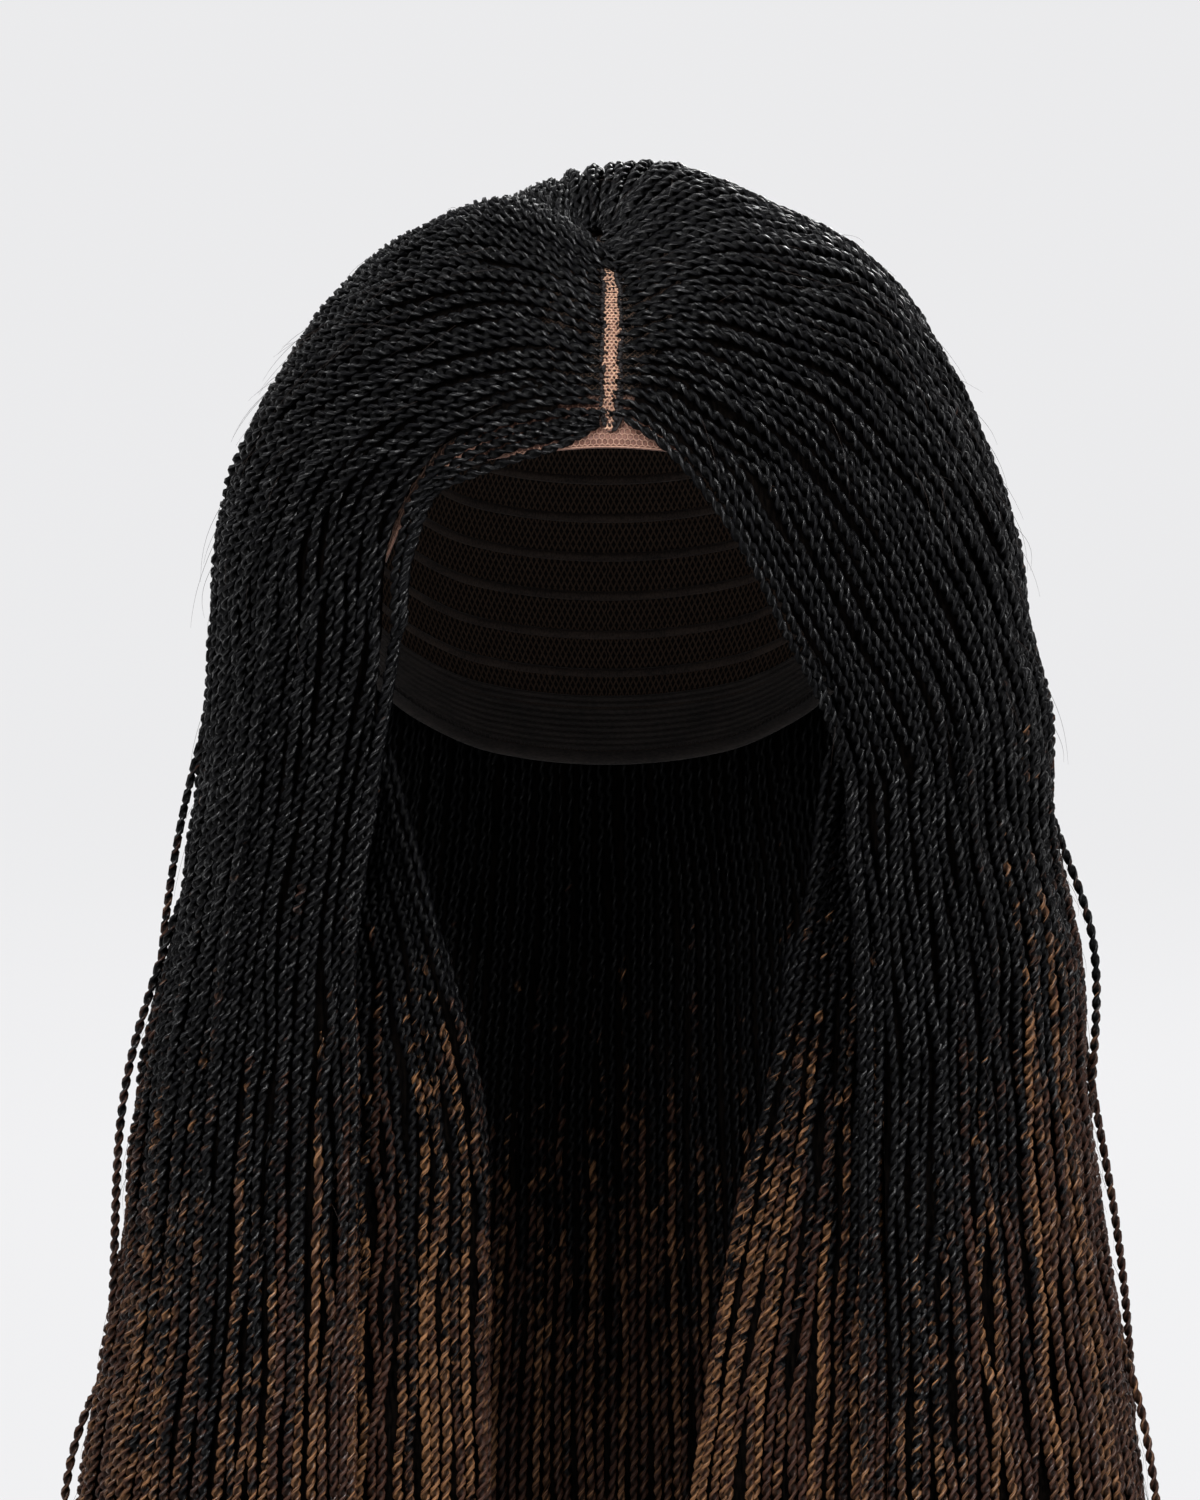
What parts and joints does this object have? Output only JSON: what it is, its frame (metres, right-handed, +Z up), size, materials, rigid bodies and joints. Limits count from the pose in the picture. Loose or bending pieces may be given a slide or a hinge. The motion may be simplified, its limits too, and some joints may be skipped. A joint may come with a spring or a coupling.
{
  "type": "braid wig",
  "caption": "Long wig of fine black two-strand twists that turn brown towards the ends, with a middle parting, on a sewn cap with a lace hairline.",
  "frame": {"origin": "where the top of the wearer's head touches the inside of the cap", "axes": "+Z up, the face opening towards -Y, +X towards the wearer's left"},
  "size_m": [0.2909, 0.2004, 0.4034],
  "materials": {
    "net": "matt net",
    "lace": "matt lace",
    "twists": "soft satin fibre",
    "brown_twists": "soft satin fibre"
  },
  "bodies": {
    "root": {"cap": "net", "lace_front": "lace", "parting_lace": "lace", "lock_left_1": "twists", "lock_left_2": "twists", "lock_left_3": "twists", "lock_left_4": "twists", "lock_left_5": "twists", "lock_left_6": "twists", "lock_left_7": "twists", "lock_left_8": "twists", "lock_left_9": "twists", "lock_left_10": "twists", "lock_left_11": "twists", "lock_left_12": "twists", "lock_left_13": "twists", "lock_right_1": "twists", "lock_right_2": "twists", "lock_right_3": "twists", "lock_right_4": "twists", "lock_right_5": "twists", "lock_right_6": "twists", "lock_right_7": "twists", "lock_right_8": "twists", "lock_right_9": "twists", "lock_right_10": "twists", "lock_right_11": "twists", "lock_right_12": "twists", "lock_right_13": "twists", "inner_lock_left_1": "brown_twists", "inner_lock_left_2": "brown_twists", "inner_lock_right_1": "brown_twists", "inner_lock_right_2": "brown_twists"}
  },
  "joints": []
}
